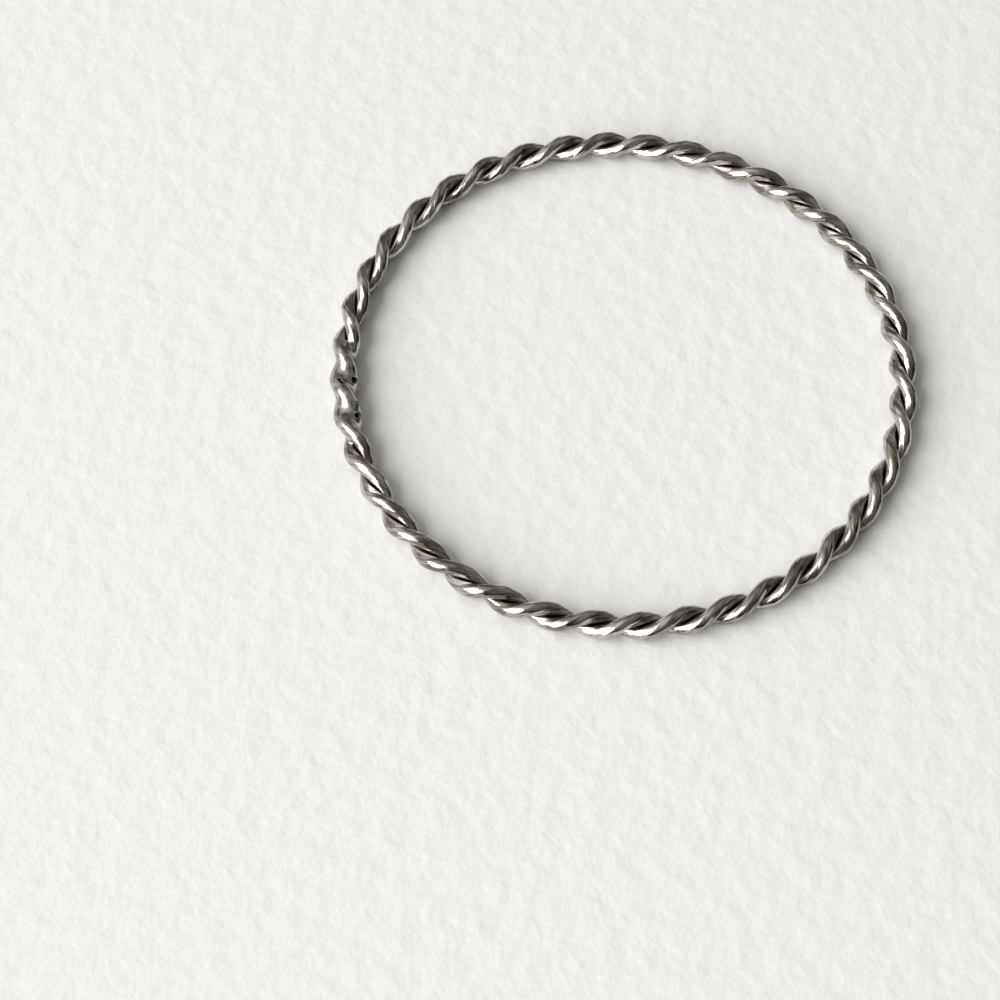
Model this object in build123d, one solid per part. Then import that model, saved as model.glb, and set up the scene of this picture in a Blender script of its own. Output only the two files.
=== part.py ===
from build123d import *
from math import cos, sin, sqrt, pi, radians
import os

# A stacking ring of two round silver wires, twisted together and closed with hard solder.
# Millimetres, +Z up.  The ring lies flat: its axis is Z and its lowest point is at Z = 0.
# The wires lie a hair apart all the way round and are one piece of metal at the seam.

# Driving dimensions
inside_diameter = 17.35      # clear width for the finger, ring size 7
wire_diameter = 0.46         # each of the two wires
wire_gap = 0.01              # daylight between the wires away from the seam
full_turns = 20              # whole turns of twist in the ring, left-handed
lobes = 2 * full_turns       # half turns: each shows as one lobe of the rope
start_angle = 18.1           # degrees, where wire one stands across the band at the +X side
out_of_round = 0.04          # how far the hand-made ring strays from a true circle
out_of_round_lobes = 3       # and in how many gentle bulges
out_of_round_angle = 22.0    # degrees, the first bulge
sections_per_lobe = 6        # lofted stretches in each half turn of wire

# The twist is made by hand, so it runs ahead and falls behind in slow waves.
# Each row: waves round the ring, how far ahead in degrees, place of the most in degrees.
twist_waves = [
    (1, 36.7, 78.0),
    (2, 3.3, 22.0),
    (3, 4.6, -73.0),
    (4, 4.1, 155.0),
    (5, 2.6, -58.0),
]

# The solder seam fills the grooves between the wires and crowns over them.
seam_angle = 192.0           # degrees, middle of the seam
seam_span = 25.0             # degrees from end to end
seam_sections = 20           # lofted stretches along it
rise_at_ends = 0.11          # solder midway between the wires, above the band's middle
rise_at_middle = 0.308
edge_at_ends = (0.235, 0.08)       # where the solder runs into a wire: across, above the middle
edge_at_middle = (0.36, 0.205)

# Gas pits in the seam.  Each row: place in degrees, direction across the band in degrees
# (0 is outwards, 90 is up), distance of the pit's centre from the band's middle, its radius.
# Pits in a row run together.
pits = [
    (189.5, 156.0, 0.378, 0.095),
    (189.9, 66.6, 0.427, 0.068),
    (190.3, 72.0, 0.438, 0.068),
    (190.7, 78.0, 0.446, 0.068),
    (191.0, 83.8, 0.447, 0.068),
    (195.5, 140.7, 0.474, 0.044),
    (196.2, 142.3, 0.469, 0.044),
    (198.4, 149.2, 0.352, 0.085),
]

# Worked out from the driving dimensions
wire_radius = wire_diameter / 2
wire_offset = wire_radius + wire_gap / 2
centreline_radius = inside_diameter / 2 + wire_radius + wire_offset


def band_radius(angle):
    """Distance of the band's centreline from the axis."""
    bulge = out_of_round_lobes * (angle - radians(out_of_round_angle))
    return centreline_radius + out_of_round * cos(bulge)


def twist(angle, wire):
    """Where a wire stands across the band: 0 is outermost, a quarter turn is on top."""
    turn = radians(start_angle) + full_turns * angle + wire * pi
    for waves, ahead, most_at in twist_waves:
        turn += radians(ahead) * cos(waves * angle - radians(most_at))
    return turn


def outward(angle):
    """Unit vector away from the axis."""
    return Vector(cos(angle), sin(angle), 0)


def across_band(angle, direction):
    """Unit vector across the band, turned from outwards towards up."""
    return outward(angle) * cos(direction) + Vector(0, 0, sin(direction))


def wire_centre(angle, wire):
    """Point on the middle line of a wire."""
    middle = outward(angle) * band_radius(angle)
    return middle + across_band(angle, twist(angle, wire)) * wire_offset


def wire_section(angle, wire):
    """Circle square to a wire, in two halves."""
    step = 1e-5
    along = (wire_centre(angle + step, wire) - wire_centre(angle - step, wire)).normalized()
    side = outward(angle)
    side = (side - along * side.dot(along)).normalized()
    plane = Plane(origin=wire_centre(angle, wire), x_dir=side, z_dir=along)
    upper = Edge.make_circle(wire_radius, plane, 0, 180)
    lower = Edge.make_circle(wire_radius, plane, 180, 360)
    return Wire([upper, lower])


def wire_lobe(lobe, wire):
    """Half a turn of twist of a wire, lofted through its sections."""
    sections = []
    for number in range(sections_per_lobe + 1):
        angle = 2 * pi * (lobe + number / sections_per_lobe) / lobes
        sections.append(wire_section(angle, wire))
    return Solid.make_loft(sections)


def twisted_wire(wire):
    """A whole closed wire, its stretches joined face to face."""
    stretches = [wire_lobe(lobe, wire) for lobe in range(lobes)]
    return stretches[0].fuse(*stretches[1:])


def between(at_ends, at_middle, share):
    """A seam size, quickly reaching its full value and holding it over the middle."""
    return at_ends + (at_middle - at_ends) * sqrt(1 - (2 * share - 1) ** 2)


def seam_section(share):
    """Solder between the wires: straight inside them, crowned where it shows."""
    angle = radians(seam_angle + (share - 0.5) * seam_span)
    rise = between(rise_at_ends, rise_at_middle, share)
    across = between(edge_at_ends[0], edge_at_middle[0], share)
    up = between(edge_at_ends[1], edge_at_middle[1], share)
    plane = Plane(
        origin=outward(angle) * band_radius(angle),
        x_dir=across_band(angle, twist(angle, 0)),
        z_dir=Vector(-sin(angle), cos(angle), 0),
    )
    left_low, right_low = Vector(-across, -up), Vector(across, -up)
    left_high, right_high = Vector(-across, up), Vector(across, up)
    outline = [
        Edge.make_three_point_arc(left_low, Vector(0, -rise), right_low),
        Edge.make_line(right_low, right_high),
        Edge.make_three_point_arc(right_high, Vector(0, rise), left_high),
        Edge.make_line(left_high, left_low),
    ]
    return Wire([plane * edge_line for edge_line in outline])


def solder_seam():
    """The solder, twisting with the wires and thinning out at both ends."""
    return Solid.make_loft([seam_section(n / seam_sections) for n in range(seam_sections + 1)])


def gas_pit(place, direction, distance, radius):
    """A small ball of gas that left a round pit in the skin."""
    angle = radians(place)
    centre = outward(angle) * band_radius(angle) + across_band(angle, radians(direction)) * distance
    return Solid.make_sphere(radius, Plane(centre))


def twisted_band():
    """The whole ring as one piece of metal, lying flat with its middle on the axis."""
    band = twisted_wire(0).fuse(twisted_wire(1), solder_seam())
    band = band.cut(*[gas_pit(*pit) for pit in pits])
    box = band.bounding_box()
    middle = box.center()
    return Pos(-middle.X, -middle.Y, -box.min.Z) * band


os.makedirs("parts", exist_ok=True)
band = twisted_band()
export_step(band, "parts/twisted_band.step")
print("solids", len(band.solids()), "valid", band.is_valid, "volume", round(band.volume, 3))
print("size", band.bounding_box().size)
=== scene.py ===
import bpy
import math
import numpy as np
from mathutils import Matrix, Quaternion, Vector


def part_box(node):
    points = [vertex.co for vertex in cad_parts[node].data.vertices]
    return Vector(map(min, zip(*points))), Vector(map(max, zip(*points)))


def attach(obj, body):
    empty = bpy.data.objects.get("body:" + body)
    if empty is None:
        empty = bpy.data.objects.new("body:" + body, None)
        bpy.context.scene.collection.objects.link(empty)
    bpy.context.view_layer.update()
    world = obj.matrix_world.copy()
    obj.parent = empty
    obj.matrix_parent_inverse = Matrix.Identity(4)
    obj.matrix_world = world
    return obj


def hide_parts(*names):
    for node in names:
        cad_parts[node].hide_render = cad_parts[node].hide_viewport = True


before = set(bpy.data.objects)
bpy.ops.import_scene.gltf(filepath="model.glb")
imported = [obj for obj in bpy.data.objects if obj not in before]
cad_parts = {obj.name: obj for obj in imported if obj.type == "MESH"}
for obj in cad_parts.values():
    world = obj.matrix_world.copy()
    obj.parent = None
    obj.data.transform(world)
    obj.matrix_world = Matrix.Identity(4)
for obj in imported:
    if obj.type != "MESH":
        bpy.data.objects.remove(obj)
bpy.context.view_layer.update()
mm = 0.001
print("frame loaded:", sorted(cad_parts))

# How the two wires run round the ring, in mm and degrees: the same law as the solid's.
rope = {
    "insideDiameter": 17.35,
    "wireDiameter": 0.46,
    "wireGap": 0.01,
    "fullTurns": 20,            # left-handed
    "startAngle": 18.1,         # strand one across the band at the +X side, before the waves; 0 is outermost
    "outOfRound": 0.04,
    "outOfRoundBulges": 3,
    "outOfRoundAngle": 22.0,
    # twisted by hand, it runs ahead and falls behind in slow waves; each row has how many of them go
    # round the ring, the most degrees ahead, and where that is
    "twistWaves": [
        (1, 36.7, 78.0),
        (2, 3.3, 22.0),
        (3, 4.6, -73.0),
        (4, 4.1, 155.0),
        (5, 2.6, -58.0),
    ],
}
wireRadius = rope["wireDiameter"] / 2
wireOffset = wireRadius + rope["wireGap"] / 2
bandRadius = rope["insideDiameter"] / 2 + wireRadius + wireOffset


def linear(hexColour):
    parts = [int(hexColour[i:i + 2], 16) / 255 for i in (1, 3, 5)]
    return [p / 12.92 if p <= 0.04045 else ((p + 0.055) / 1.055) ** 2.4 for p in parts] + [1.0]


def addNode(tree, kind, settings=None, links=None):
    node = tree.nodes.new(kind)
    for name, value in (settings or {}).items():
        if isinstance(name, str) and hasattr(node, name):
            setattr(node, name, value)
        else:
            node.inputs[name].default_value = value
    for socket, source in (links or {}).items():
        tree.links.new(source, node.inputs[socket])
    return node


def twist(angle):
    turn = math.radians(rope["startAngle"]) + rope["fullTurns"] * angle
    for waves, ahead, where in rope["twistWaves"]:
        turn = turn + math.radians(ahead) * np.cos(waves * angle - math.radians(where))
    return turn


def centreRadius(angle):
    bulge = rope["outOfRoundBulges"] * (angle - math.radians(rope["outOfRoundAngle"]))
    return bandRadius + rope["outOfRound"] * np.cos(bulge)


def bandPoint(angle, radial, height):
    # a place in the band's cross-section, outwards and up, as a point in mm
    reach = centreRadius(angle) + radial
    return np.stack([reach * np.cos(angle), reach * np.sin(angle), height], -1)


def wireCentre(angle, wire):
    turn = twist(angle) + wire * math.pi
    return bandPoint(angle, wireOffset * np.cos(turn), wireOffset * np.sin(turn))


def standOffset():
    # the solid's law is centred on the finger; its frame is centred on its box, with its foot on the floor
    angle = np.linspace(0, 2 * math.pi, 7200, endpoint=False)      # a twentieth of a degree apart
    middles = np.concatenate([wireCentre(angle, 0), wireCentre(angle, 1)])
    outwards = middles[:, :2] / np.linalg.norm(middles[:, :2], axis=1, keepdims=True)
    skin = middles[:, :2] + outwards * wireRadius
    low, high = [np.array(corner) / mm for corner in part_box("twisted_band")]
    shift = (low[:2] + high[:2] - skin.max(0) - skin.min(0)) / 2
    return np.array([shift[0], shift[1], low[2] + wireRadius - middles[:, 2].min()])


stand = standOffset()


def smooth(value, start, end):
    share = np.clip((value - start) / (end - start), 0, 1)
    return share * share * (3 - 2 * share)


def tubeMesh(name, points, isLoop, attributes):
    # points[station, side, xyz] in mm; an open tube gets a face over each end
    stations, sides = points.shape[:2]
    rows = stations if isLoop else stations - 1
    i, j = np.meshgrid(np.arange(rows), np.arange(sides), indexing="ij")
    nextI, nextJ = (i + 1) % stations, (j + 1) % sides
    quads = np.stack([i * sides + j, i * sides + nextJ, nextI * sides + nextJ, nextI * sides + j], -1)
    faces = quads.reshape(-1, 4).tolist()
    if not isLoop:
        faces.append(list(reversed(range(sides))))
        faces.append([(stations - 1) * sides + s for s in range(sides)])
    mesh = bpy.data.meshes.new(name)
    mesh.from_pydata(((points.reshape(-1, 3) + stand) * mm).tolist(), [], faces)
    corners = np.stack([np.stack([j, i], -1), np.stack([j + 1, i], -1),
                        np.stack([j + 1, i + 1], -1), np.stack([j, i + 1], -1)], 2) / [sides, rows]
    flat = np.zeros(len(mesh.loops) * 2, np.float32)
    flat[:corners.size] = corners.ravel()
    mesh.uv_layers.new(name="wireUV").data.foreach_set("uv", flat)
    for label, values in attributes.items():
        layer = mesh.attributes.new(label, "FLOAT", "POINT")
        layer.data.foreach_set("value", values.astype(np.float32).ravel())
    mesh.shade_smooth()
    piece = bpy.data.objects.new(name, mesh)
    bpy.context.scene.collection.objects.link(piece)
    return piece


def settle(piece, material):
    piece.data.materials.append(material)
    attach(piece, "root")
    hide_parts("twisted_band")
    print(piece.name, len(piece.data.polygons), "faces")


# Sterling silver wire, drawn through a plate, twisted, pickled and rubbed bright: a dark, clear mirror
# with streaks along the wire, and grey-brown tarnish in the grooves where no cloth reaches.
wireSilver = {
    "bright": "#CFCCC6",
    "worn": "#827C74",           # tarnish left in the draw lines
    "tarnish": "#3A342D",
    "roughness": 0.10,
    "lineSpacing": 0.105,        # mm round the wire; real draw lines are finer, drawn coarser to show
    "lineLength": 1.1,           # mm
    "lineDepth": 0.012,          # mm
    "patchSize": 0.9,            # mm
    "patchWeight": 0.9,          # how much the patches add to the lines
    "wornBelow": 0.80,           # sum of lines and patches: worn below this, bright above the next
    "brightAbove": 1.10,
    "roughnessWorn": 1.4,        # shares of the roughness
    "roughnessBright": 0.7,
    "grooveStart": 0.55,         # where tarnish starts; 1 is the side that faces the other wire
    "grooveUneven": 0.4,         # how much the patches add to that
    "grooveFull": 1.2,           # where it is full, with the patches added
    "tarnishMost": 0.9,
}
wireLength = 2 * math.pi * math.hypot(bandRadius, wireOffset * rope["fullTurns"])


def wireSpace(tree, uv, across, lengthwise):
    # texture space in cells of the given mm, round and along the wire
    cells = (math.pi * rope["wireDiameter"] / across, wireLength / lengthwise, 1)
    return addNode(tree, "ShaderNodeMapping", {"Scale": cells}, {"Vector": uv.outputs[0]}).outputs[0]


def drawnSilver():
    material = bpy.data.materials.new("drawnSterlingSilver")
    material.use_nodes = True
    tree = material.node_tree
    shader = tree.nodes["Principled BSDF"]
    shader.inputs["Metallic"].default_value = 1.0
    groove = addNode(tree, "ShaderNodeAttribute", {"attribute_name": "groove"})
    uv = addNode(tree, "ShaderNodeUVMap", {"uv_map": "wireUV"})
    place = addNode(tree, "ShaderNodeTexCoord")
    lines = addNode(tree, "ShaderNodeTexNoise",
                    {"Scale": 1.0, "Detail": 3.0, "Roughness": 0.6, "Distortion": 0.6},
                    {"Vector": wireSpace(tree, uv, wireSilver["lineSpacing"], wireSilver["lineLength"])})
    patches = addNode(tree, "ShaderNodeTexNoise",
                      {"Scale": 1 / (wireSilver["patchSize"] * mm), "Detail": 3.0},
                      {"Vector": place.outputs["Object"]})
    streak = addNode(tree, "ShaderNodeMath",
                     {"operation": "MULTIPLY_ADD", 1: wireSilver["patchWeight"]},
                     {0: patches.outputs[0], 2: lines.outputs[0]})
    wear = addNode(tree, "ShaderNodeMapRange",
                   {"From Min": wireSilver["wornBelow"], "From Max": wireSilver["brightAbove"]},
                   {"Value": streak.outputs[0]})
    polished = addNode(tree, "ShaderNodeMix",
                       {"data_type": "RGBA",
                        6: linear(wireSilver["worn"]), 7: linear(wireSilver["bright"])},
                       {0: wear.outputs[0]})
    depth = addNode(tree, "ShaderNodeMath",
                    {"operation": "MULTIPLY_ADD", 1: wireSilver["grooveUneven"]},
                    {0: patches.outputs[0], 2: groove.outputs["Fac"]})
    amount = addNode(tree, "ShaderNodeMapRange",
                     {"From Min": wireSilver["grooveStart"] + wireSilver["grooveUneven"] / 2,
                      "From Max": wireSilver["grooveFull"], "To Max": wireSilver["tarnishMost"]},
                     {"Value": depth.outputs[0]})
    colour = addNode(tree, "ShaderNodeMix",
                     {"data_type": "RGBA", 7: linear(wireSilver["tarnish"])},
                     {0: amount.outputs[0], 6: polished.outputs[2]})
    tree.links.new(colour.outputs[2], shader.inputs["Base Color"])
    rough = addNode(tree, "ShaderNodeMapRange",
                    {"From Min": wireSilver["wornBelow"], "From Max": wireSilver["brightAbove"],
                     "To Min": wireSilver["roughness"] * wireSilver["roughnessWorn"],
                     "To Max": wireSilver["roughness"] * wireSilver["roughnessBright"]},
                    {"Value": streak.outputs[0]})
    tree.links.new(rough.outputs[0], shader.inputs["Roughness"])
    bump = addNode(tree, "ShaderNodeBump", {"Strength": 1.0, "Distance": wireSilver["lineDepth"] * mm},
                   {"Height": lines.outputs[0]})
    tree.links.new(bump.outputs[0], shader.inputs["Normal"])
    return material


# The strands: swept wires with the slight flats of hand twisting, thinned where the solder covers them.
strand = {
    "sides": 48,
    "stationsPerTurn": 100,
    "flats": 12,                 # long shallow facets laid over each other
    "flatSlope": 0.030,          # how far each tilts the skin
    "flatsAround": (2, 8),       # fewest and most of one layer, counted round the wire
    "flatDrift": 30,             # most times a layer comes round along the whole ring, either way
    "pressed": (0.2, 0.9),       # where the flats fade out; 1 is the side that faces the other strand
    "seed": 5,
    "thinUnderSolder": 0.30,     # share of the wire's radius
    "thinStart": 1.0,            # degrees inside the solder's edge
    "thinFull": 2.5,
}


def makeStrand(name, wire, material):
    stations = strand["stationsPerTurn"] * rope["fullTurns"]
    sides = strand["sides"]
    # the loop's join lies under the solder
    angle = math.radians(seam["middle"]) + np.linspace(0, 2 * math.pi, stations, endpoint=False)
    turn = twist(angle) + wire * math.pi
    middle = wireCentre(angle, wire)
    along = np.roll(middle, -1, 0) - np.roll(middle, 1, 0)
    along /= np.linalg.norm(along, axis=1, keepdims=True)
    outward = np.stack([np.cos(angle), np.sin(angle), 0 * angle], -1)
    away = outward * np.cos(turn)[:, None] + np.array([0, 0, 1.0]) * np.sin(turn)[:, None]
    away -= along * (away * along).sum(1, keepdims=True)
    away /= np.linalg.norm(away, axis=1, keepdims=True)
    side = np.cross(along, away)
    around = np.linspace(0, 2 * math.pi, sides, endpoint=False)      # 0 faces the other strand
    rng = np.random.default_rng(strand["seed"] + wire)
    length = np.arange(stations) / strand["stationsPerTurn"]
    waves = np.zeros((stations, sides))
    for _ in range(strand["flats"]):
        count = int(rng.integers(strand["flatsAround"][0], strand["flatsAround"][1] + 1))
        drift = int(rng.integers(-strand["flatDrift"], strand["flatDrift"] + 1)) / rope["fullTurns"]
        phase = 2 * math.pi * (drift * length[:, None] + rng.random())
        waves += strand["flatSlope"] * wireRadius / count * np.cos(count * around[None, :] + phase)
    # where the strands press on each other they stay round, and reach over half the gap
    facing = smooth(np.cos(around)[None, :], *strand["pressed"])
    skin = wireRadius + (waves - waves.max()) * (1 - facing) + facing * rope["wireGap"] * 0.5
    fromSeam = np.abs((angle - math.radians(seam["middle"]) + math.pi) % (2 * math.pi) - math.pi)
    fullAt = seam["skinHalfSpan"] - strand["thinFull"]
    startAt = seam["skinHalfSpan"] - strand["thinStart"]
    covered = 1 - smooth(np.degrees(fromSeam), fullAt, startAt)
    skin *= 1 - strand["thinUnderSolder"] * covered[:, None]
    inward = -away[:, None, :] * np.cos(around)[None, :, None]
    spokes = inward - side[:, None, :] * np.sin(around)[None, :, None]
    points = middle[:, None, :] + spokes * skin[..., None]
    piece = tubeMesh(name, points, True, {"groove": np.broadcast_to(np.cos(around), skin.shape)})
    settle(piece, material)


# Hard silver solder, flowed with a torch, pickled and only lightly polished: greyer and a little softer
# in its reflections than the wire, with fire-scale mottling; its pits get painted shade, near black.
solderSilver = {
    "bright": "#CBC7C1",
    "dull": "#8C8780",
    # near black painted into the pits as their shade
    "pitShadeColour": "#0D0B09",
    "roughness": 0.18,
    "mottleSize": 0.20,          # mm
    "dullBelow": 0.35,           # the mottle's own value, from dull to bright
    "brightAbove": 0.65,
    "roughnessRange": (0.3, 0.7),      # the mottle's value
    "roughnessShares": (0.7, 1.5),     # and the shares of the roughness that it gives
    "pitShadeStart": 0.05,           # how deep-set a pit's wall starts to take the painted shade
    "pitShadeFull": 0.55,
    "burntRoughness": 0.5,       # added inside a pit
    "rippleDepth": 0.010,        # mm
}


def flowedSolder():
    material = bpy.data.materials.new("flowedHardSolder")
    material.use_nodes = True
    tree = material.node_tree
    shader = tree.nodes["Principled BSDF"]
    shader.inputs["Metallic"].default_value = 1.0
    sunk = addNode(tree, "ShaderNodeAttribute", {"attribute_name": "sunk"})
    place = addNode(tree, "ShaderNodeTexCoord")
    mottle = addNode(tree, "ShaderNodeTexNoise",
                     {"Scale": 1 / (solderSilver["mottleSize"] * mm), "Detail": 4.0},
                     {"Vector": place.outputs["Object"]})
    share = addNode(tree, "ShaderNodeMapRange",
                    {"From Min": solderSilver["dullBelow"], "From Max": solderSilver["brightAbove"]},
                    {"Value": mottle.outputs[0]})
    metal = addNode(tree, "ShaderNodeMix",
                    {"data_type": "RGBA",
                     6: linear(solderSilver["dull"]), 7: linear(solderSilver["bright"])},
                    {0: share.outputs[0]})
    # painted shade: the pits' colour is mixed towards near black by how deep they are
    hole = addNode(tree, "ShaderNodeMapRange",
                   {"interpolation_type": "SMOOTHSTEP",
                    "From Min": solderSilver["pitShadeStart"], "From Max": solderSilver["pitShadeFull"]},
                   {"Value": sunk.outputs["Fac"]})
    colour = addNode(tree, "ShaderNodeMix",
                     {"data_type": "RGBA", 7: linear(solderSilver["pitShadeColour"])},
                     {0: hole.outputs[0], 6: metal.outputs[2]})
    tree.links.new(colour.outputs[2], shader.inputs["Base Color"])
    rough = addNode(tree, "ShaderNodeMapRange",
                    {"From Min": solderSilver["roughnessRange"][0],
                     "From Max": solderSilver["roughnessRange"][1],
                     "To Min": solderSilver["roughness"] * solderSilver["roughnessShares"][0],
                     "To Max": solderSilver["roughness"] * solderSilver["roughnessShares"][1]},
                    {"Value": mottle.outputs[0]})
    burnt = addNode(tree, "ShaderNodeMath",
                    {"operation": "MULTIPLY_ADD", 1: solderSilver["burntRoughness"], "use_clamp": True},
                    {0: hole.outputs[0], 2: rough.outputs[0]})
    tree.links.new(burnt.outputs[0], shader.inputs["Roughness"])
    bump = addNode(tree, "ShaderNodeBump",
                   {"Strength": 1.0, "Distance": solderSilver["rippleDepth"] * mm},
                   {"Height": mottle.outputs[0]})
    tree.links.new(bump.outputs[0], shader.inputs["Normal"])
    return material


# The solder seam closes the twist: how far it reaches, and how full it leaves the grooves.
seam = {
    "middle": 192.0,             # degrees round the ring
    "halfSpan": 12.5,            # degrees, each way
    "skinHalfSpan": 8.6,         # where the solder also covers the wires' backs
    "skinFade": (0.8, 1.5),      # degrees inside and outside that edge, over which it thins out
    "edgeWander": (0.2, 0.6),    # degrees, the least and most of each wave in that edge
    "skin": 0.0,                 # mm of solder standing over the wires' backs
    "buried": 0.017,             # mm that it lies under their backs past the edge
    "fillet": 0.50,              # mm, how wide the groove's fillet reaches at the middle
    "filletAtEnds": 0.12,
    "headroom": 0.001,           # mm that it stays under the wires' own height
    "searchReach": 0.62,         # mm from the band's middle, outside any solder
    "searchSteps": 15,           # each halves what is left of that reach
    "stations": 340,
    "sides": 120,
    "seed": 11,
    # gas pits: degrees round the ring, degrees across the band (0 outwards, 90 up), radius and depth in mm;
    # pits set in a row run together into a crease or a slot
    "pinholes": [
        (189.5, 156.0, 0.140, 0.095),    # the large one
        (189.9, 66.6, 0.075, 0.018),     # the crease, four in a row
        (190.3, 72.0, 0.075, 0.018),
        (190.7, 78.0, 0.075, 0.018),
        (191.0, 83.8, 0.075, 0.018),
        (195.5, 140.7, 0.058, 0.035),    # the slot, two in a row
        (196.2, 142.3, 0.058, 0.035),
        (197.4, 139.0, 0.080, 0.012),    # a shallow dent beside the last pit, there mostly to paint that side dark as shade
        (198.4, 149.2, 0.120, 0.090),
    ],
    "bowl": (0.35, 1.05),        # where a pit's wall ends and starts, as shares of its radius
    "darkening": 2.6,            # how soon painted shade fills a pit with depth: this times depth over radius
    "lip": 0.10,                 # height of the raised edge round a pit, as a share of its depth
    "lipPlace": 1.15,            # where the edge is highest, and how wide, as shares of the radius
    "lipWidth": 0.28,
}


def wireDistance(points, near, wire):
    # walks each point's nearest place along the wire, then measures to it
    step = 1e-4
    for _ in range(6):
        centre = wireCentre(near, wire)
        speed = (wireCentre(near + step, wire) - centre) / step
        near = near + ((points - centre) * speed).sum(-1) / (speed * speed).sum(-1)
    return np.linalg.norm(points - wireCentre(near, wire), axis=-1)


def makeSeam(name, material):
    highest = wireOffset + wireRadius - seam["headroom"]
    share = np.linspace(-1, 1, seam["stations"])[:, None]
    angle = np.radians(seam["middle"] + share * seam["halfSpan"])
    spoke = np.linspace(0, 2 * math.pi, seam["sides"], endpoint=False)[None, :]
    turn = twist(angle) + spoke
    rng = np.random.default_rng(seam["seed"])
    wander = 0
    for count in (1, 2, 3, 4):
        height = rng.uniform(*seam["edgeWander"])
        wander = wander + height * np.cos(count * spoke + rng.uniform(0, 6.28))      # any phase
    fromMiddle = np.abs(share) * seam["halfSpan"] + wander
    fadeStart = seam["skinHalfSpan"] - seam["skinFade"][0]
    fadeEnd = seam["skinHalfSpan"] + seam["skinFade"][1]
    fade = 1 - smooth(fromMiddle, fadeStart, fadeEnd)
    skin = -seam["buried"] + (seam["skin"] + seam["buried"]) * fade
    fillet = seam["filletAtEnds"] + (seam["fillet"] - seam["filletAtEnds"]) * np.sqrt(1 - share * share)
    angle = np.broadcast_to(angle, turn.shape)
    # the solder's skin is searched for between the band's middle and open air, by halving
    low, high = np.full(turn.shape, 0.0), np.full(turn.shape, seam["searchReach"])
    for _ in range(seam["searchSteps"]):
        reach = (low + high) / 2
        points = bandPoint(angle, reach * np.cos(turn), reach * np.sin(turn))
        nearest = [wireDistance(points, angle, wire) for wire in (0, 1)]
        blend = np.maximum(fillet - np.abs(nearest[0] - nearest[1]), 0)
        field = np.minimum(nearest[0], nearest[1]) - blend * blend / (4 * fillet) - wireRadius - skin
        low, high = np.where(field < 0, reach, low), np.where(field < 0, high, reach)
    points = bandPoint(angle, low * np.cos(turn), low * np.sin(turn))
    sunk = np.zeros(turn.shape)
    for where, direction, radius, depth in seam["pinholes"]:
        along = (angle - math.radians(where)) * bandRadius
        lean = (turn - math.radians(direction) + math.pi) % (2 * math.pi) - math.pi
        nearestVertex = np.argmin(along ** 2 + (lean * wireRadius) ** 2)
        mouth = points.reshape(-1, 3)[nearestVertex]
        away = np.linalg.norm(points - mouth, axis=-1) / radius
        hollow = 1 - smooth(away, *seam["bowl"])
        # painted shade: each pit's bowl darkens, more the deeper it is for its width
        sunk = np.maximum(sunk, hollow * min(1, seam["darkening"] * depth / radius))
        edge = np.exp(-((away - seam["lipPlace"]) / seam["lipWidth"]) ** 2) * (1 - hollow)
        low = low - depth * hollow + seam["lip"] * depth * edge
    points = bandPoint(angle, low * np.cos(turn), low * np.sin(turn))
    points[..., 2] = np.clip(points[..., 2], -highest, highest)
    piece = tubeMesh(name, points, False, {"sunk": sunk})
    settle(piece, material)


silver = drawnSilver()
makeStrand("strand_one", 0, silver)
makeStrand("strand_two", 1, silver)
makeSeam("solder_seam", flowedSolder())


# Camera: in front of the ring, and about 59 degrees above the floor as seen from the ring's middle.
camera = {
    "place": (0.035, -39.09, 64.58),   # mm from the middle of the finger hole
    "aim": (-3.47, -4.97, 0.0),        # where its axis meets the floor
    "roll": 0.723,                     # degrees
    "lens": 82.42,                     # mm, on a sensor of this width
    "sensorWidth": 36,
    "clip": (0.005, 5),                # m
}


def makeCamera():
    data = bpy.data.cameras.new("studioCamera")
    data.lens = camera["lens"]
    data.sensor_width = camera["sensorWidth"]
    data.clip_start, data.clip_end = camera["clip"]
    cam = bpy.data.objects.new("studioCamera", data)
    middle = Vector((stand[0], stand[1], 0)) * mm
    place = Vector(camera["place"]) * mm + middle
    forward = (Vector(camera["aim"]) * mm + middle - place).normalized()
    right = forward.cross(Vector((0, 0, 1))).normalized()
    up = right.cross(forward)
    turn = Matrix.Rotation(math.radians(camera["roll"]), 3, -forward)
    right, up = turn @ right, turn @ up
    cam.matrix_world = Matrix.Translation(place) @ Matrix((right, up, -forward)).transposed().to_4x4()
    bpy.context.scene.collection.objects.link(cam)
    bpy.context.scene.camera = cam


# Floor: pale watercolour paper with a fine tooth, matt.
floor = {
    "colour": "#E9E9E8",
    "roughness": 0.9,
    "specular": 0.2,
    "size": 1500.0,              # mm
    "toothSpacing": 0.75,        # mm
    "toothDepth": 0.06,          # mm
}


def makeFloor():
    half = floor["size"] / 2 * mm
    mesh = bpy.data.meshes.new("floor")
    corners = [(-half, -half, 0), (half, -half, 0), (half, half, 0), (-half, half, 0)]
    mesh.from_pydata(corners, [], [(0, 1, 2, 3)])
    plane = bpy.data.objects.new("floor", mesh)
    bpy.context.scene.collection.objects.link(plane)
    material = bpy.data.materials.new("watercolourPaper")
    material.use_nodes = True
    tree = material.node_tree
    shader = tree.nodes["Principled BSDF"]
    shader.inputs["Base Color"].default_value = linear(floor["colour"])
    shader.inputs["Roughness"].default_value = floor["roughness"]
    shader.inputs["Specular IOR Level"].default_value = floor["specular"]
    place = addNode(tree, "ShaderNodeTexCoord")
    tooth = addNode(tree, "ShaderNodeTexNoise",
                    {"Scale": 1 / (floor["toothSpacing"] * mm), "Detail": 4.0},
                    {"Vector": place.outputs["Object"]})
    bump = addNode(tree, "ShaderNodeBump",
                   {"Strength": 1.0, "Distance": floor["toothDepth"] * mm},
                   {"Height": tooth.outputs[0]})
    tree.links.new(bump.outputs[0], shader.inputs["Normal"])
    mesh.materials.append(material)


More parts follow.
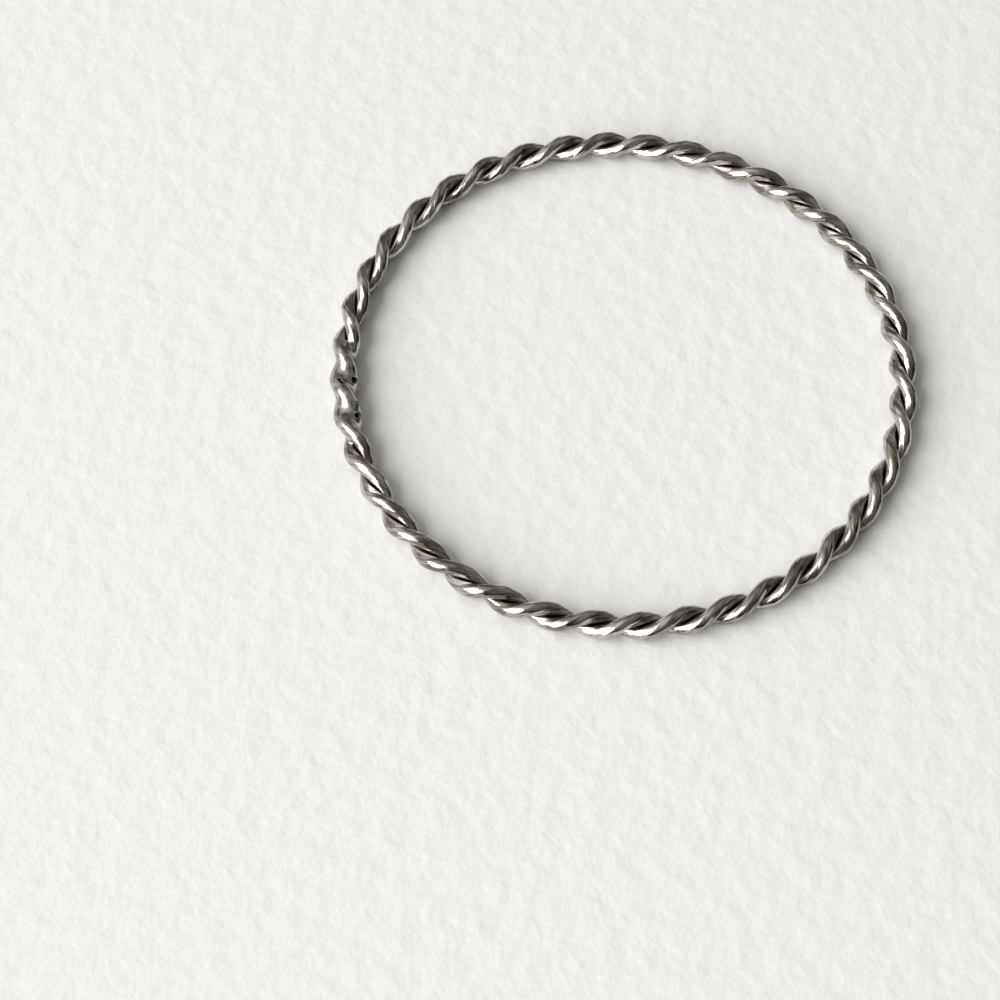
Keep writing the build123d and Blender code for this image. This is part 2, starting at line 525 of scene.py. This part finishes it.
# Light: one large soft window light on the left, in a dim room.
light = {
    "azimuth": -57.0,            # degrees; 0 is the camera's side, and it grows to the right
    "elevation": 33.5,
    "distance": 500.0,           # mm
    "width": 460.0,
    "height": 700.0,
    "lean": 58.0,                # degrees
    "radiance": 4.75,
    "colour": (1.0, 1.0, 1.0),
}
# The room: the light that comes from all round, and its lighter and darker sides. Each side has its
# azimuth, its elevation, the angles inside which it is full and outside which it is gone, and its light.
room = {
    "ceiling": (0.190, 0.184, 0.175),
    "sides": [
        (-98, 46, 12, 58, (0.82, 0.80, 0.77)),
        (-86, 36, 16, 38, (1.00, 0.975, 0.94)),
        (135, 45, 10, 34, (0.300, 0.291, 0.278)),
        (38, 28, 10, 34, (0.190, 0.184, 0.175)),
        (68, 28, 6, 24, (0.080, 0.078, 0.074)),
        (100, 14, 10, 32, (0.040, 0.039, 0.037)),
        (4, 10, 8, 28, (0.030, 0.029, 0.027)),
    ],
}


def towards(azimuth, elevation):
    a, e = math.radians(azimuth), math.radians(elevation)
    return Vector((math.sin(a) * math.cos(e), -math.cos(a) * math.cos(e), math.sin(e)))


def makeLights():
    data = bpy.data.lights.new("windowLight", "AREA")
    data.shape = "ELLIPSE"
    data.size, data.size_y = light["width"] * mm, light["height"] * mm
    data.energy = light["radiance"] * math.pi * (math.pi / 4 * data.size * data.size_y)
    data.color = light["colour"]
    lamp = bpy.data.objects.new("windowLight", data)
    way = towards(light["azimuth"], light["elevation"])
    lamp.location = way * light["distance"] * mm
    lamp.rotation_mode = "QUATERNION"
    lean = Quaternion((0, 0, 1), math.radians(light["lean"]))
    lamp.rotation_quaternion = way.to_track_quat("Z", "Y") @ lean
    lamp.visible_camera = False
    bpy.context.scene.collection.objects.link(lamp)
    world = bpy.data.worlds.new("room")
    world.use_nodes = True
    bpy.context.scene.world = world
    tree = world.node_tree
    place = addNode(tree, "ShaderNodeTexCoord")
    shade = None
    for azimuth, elevation, inner, outer, colour in room["sides"]:
        facing = addNode(tree, "ShaderNodeVectorMath",
                         {"operation": "DOT_PRODUCT", 1: towards(azimuth, elevation)},
                         {0: place.outputs["Generated"]})
        share = addNode(tree, "ShaderNodeMapRange",
                        {"interpolation_type": "SMOOTHSTEP",
                         "From Min": math.cos(math.radians(outer)),
                         "From Max": math.cos(math.radians(inner))},
                        {"Value": facing.outputs["Value"]})
        under = {6: shade} if shade else {}
        shade = addNode(tree, "ShaderNodeMix",
                        {"data_type": "RGBA", 6: room["ceiling"] + (1,), 7: colour + (1,)},
                        {0: share.outputs[0], **under}).outputs[2]
    tree.links.new(shade, tree.nodes["Background"].inputs["Color"])


makeCamera()
makeFloor()
makeLights()
bpy.context.scene.view_settings.view_transform = "Standard"
print("camera, floor and light set")
